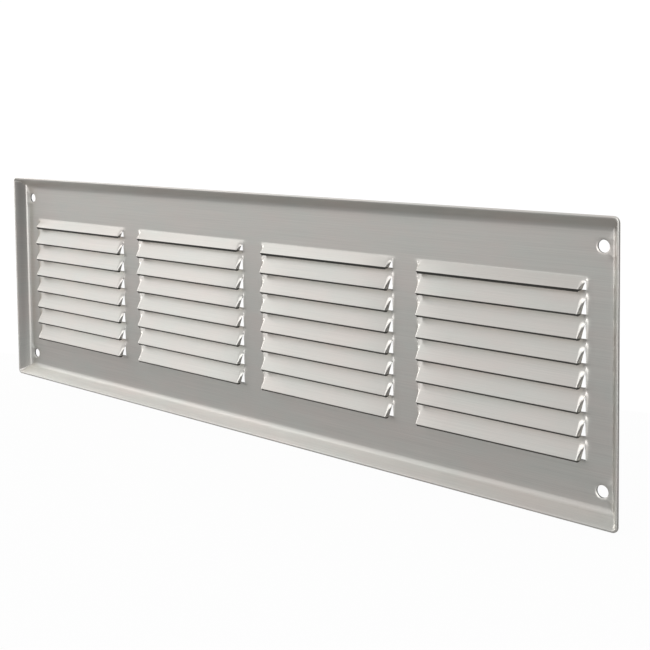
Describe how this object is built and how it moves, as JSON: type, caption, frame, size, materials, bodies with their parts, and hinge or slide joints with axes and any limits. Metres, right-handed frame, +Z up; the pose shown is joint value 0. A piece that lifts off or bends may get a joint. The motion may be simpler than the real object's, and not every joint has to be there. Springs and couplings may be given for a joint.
{
  "type": "louvred ventilation panel",
  "caption": "Flat pressed steel ventilation panel with columns of lanced louvres, a raised mitred rim and a screw hole at each corner, for covering a wall, door or plinth opening.",
  "frame": {"origin": "centre of the flat back face of the field, in the web between the middle two louvre columns", "axes": "+X along the width, +Z up, and the louvred front faces -Y"},
  "size_m": [0.4, 0.0076, 0.12],
  "materials": {
    "brushed_sheet": "stainless steel with fine grain along the width"
  },
  "bodies": {
    "root": {"louvred_panel": "brushed_sheet"}
  },
  "joints": []
}
